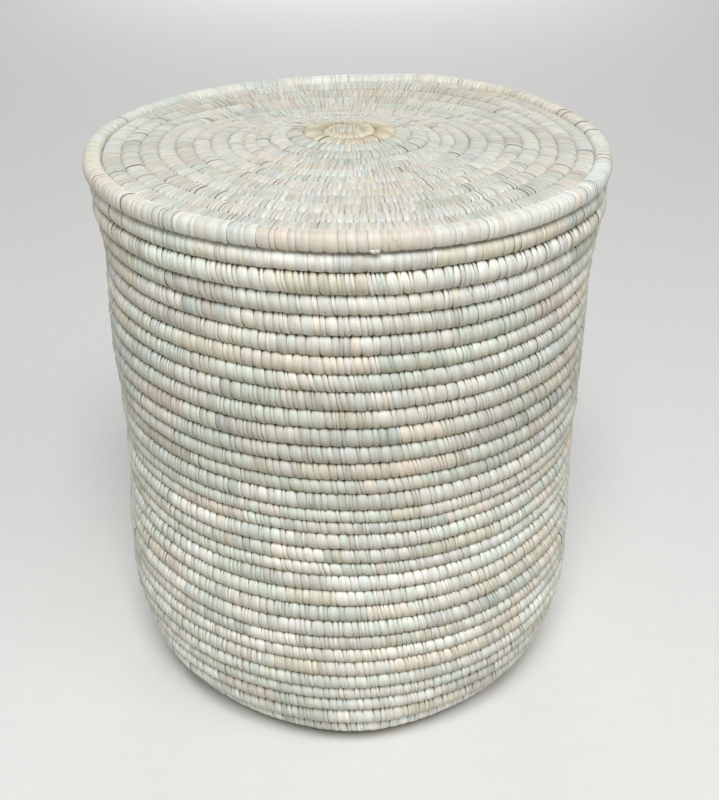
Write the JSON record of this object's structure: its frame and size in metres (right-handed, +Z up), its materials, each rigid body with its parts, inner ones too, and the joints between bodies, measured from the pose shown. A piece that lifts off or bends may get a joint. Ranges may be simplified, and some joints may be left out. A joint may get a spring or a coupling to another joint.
{
  "type": "lidded storage basket",
  "caption": "Tall round coiled palm-leaf storage basket with a rounded heel and a lift-off lid, slightly domed.",
  "frame": {"origin": "middle of the underside of the basket, on the surface it stands on", "axes": "+Z up along the basket's axis, -Y towards the viewer of the picture"},
  "size_m": [0.46, 0.46, 0.538],
  "materials": {
    "leaf_body": "matt dried palm leaf, cream with pale green and pinkish tan runs",
    "leaf_lid": "matt dried palm leaf, cream with pale green and pinkish tan runs",
    "leaf_knot": "matt dried palm leaf, tan"
  },
  "bodies": {
    "basket": {"base_start": "leaf_knot", "base_coil": "leaf_body", "heel_coil_lower": "leaf_body", "heel_coil_upper": "leaf_body", "wall_coil_lower": "leaf_body", "wall_coil_upper": "leaf_body", "rim_coil": "leaf_body"},
    "lid": {"lid_start": "leaf_knot", "lid_coil": "leaf_lid", "lid_edge_coil": "leaf_lid", "lid_locating_coil": "leaf_lid"}
  },
  "joints": [
    {"name": "lid_lift", "type": "slide", "parent": "basket", "child": "lid", "axis": [0, 0, 1], "range_m": [0, 0.45]}
  ]
}
